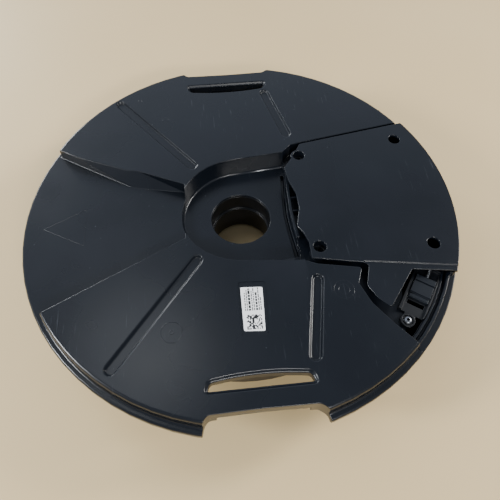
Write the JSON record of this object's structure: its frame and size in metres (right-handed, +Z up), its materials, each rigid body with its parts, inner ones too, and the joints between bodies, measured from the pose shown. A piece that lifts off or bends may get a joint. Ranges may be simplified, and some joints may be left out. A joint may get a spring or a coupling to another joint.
{
  "type": "surface cleaner",
  "caption": "Round deck of a rotary surface cleaner: satin moulded deck with finger slots, recessed hub with a through bore, screwed sector cover, drum and brush skirt.",
  "frame": {"origin": "centre of the round footprint on the ground, on the axis of the hub bore", "axes": "+Z up along the hub axis, +X toward the sector cover, +Y toward the rear finger slot"},
  "size_m": [0.45, 0.437, 0.083],
  "materials": {
    "satin_black": "satin moulded, fine swirls",
    "cover_black": "satin moulded",
    "black_pp": "fine texture",
    "steel": "zinc plated",
    "acetal": "smooth",
    "rubber": "matt",
    "bristle": "nylon filament",
    "label": "printed film"
  },
  "bodies": {
    "housing": {"brush_skirt": "bristle", "comb_insert": "acetal", "cover_screw_1": "steel", "cover_screw_2": "steel", "cover_screw_3": "steel", "cover_screw_4": "steel", "deck_shell": "satin_black", "guide_screw_1": "steel", "guide_screw_2": "steel", "housing_screw_1": "steel", "housing_screw_2": "steel", "housing_screw_3": "steel", "housing_screw_4": "steel", "housing_screw_5": "steel", "hub_seal": "rubber", "lower_housing": "black_pp", "rating_label": "label", "sector_cover": "cover_black", "skirt_carrier": "black_pp", "slide_guide": "black_pp", "slide_spring": "steel", "thrust_washer": "acetal"},
    "hub": {"hub_sleeve": "black_pp", "hub_retaining_ring": "steel"},
    "slide": {"thumb_slide": "acetal"}
  },
  "joints": [
    {"name": "hub_turn", "type": "hinge", "parent": "housing", "child": "hub", "pos_m": [0, 0, 0.055], "axis": [0, 0, 1], "continuous": true},
    {"name": "slide_travel", "type": "slide", "parent": "housing", "child": "slide", "axis": [0.5736, 0.8192, 0], "range_m": [0, 0.005], "stiffness_N_per_m": 200, "deforming": ["slide_spring"]}
  ]
}
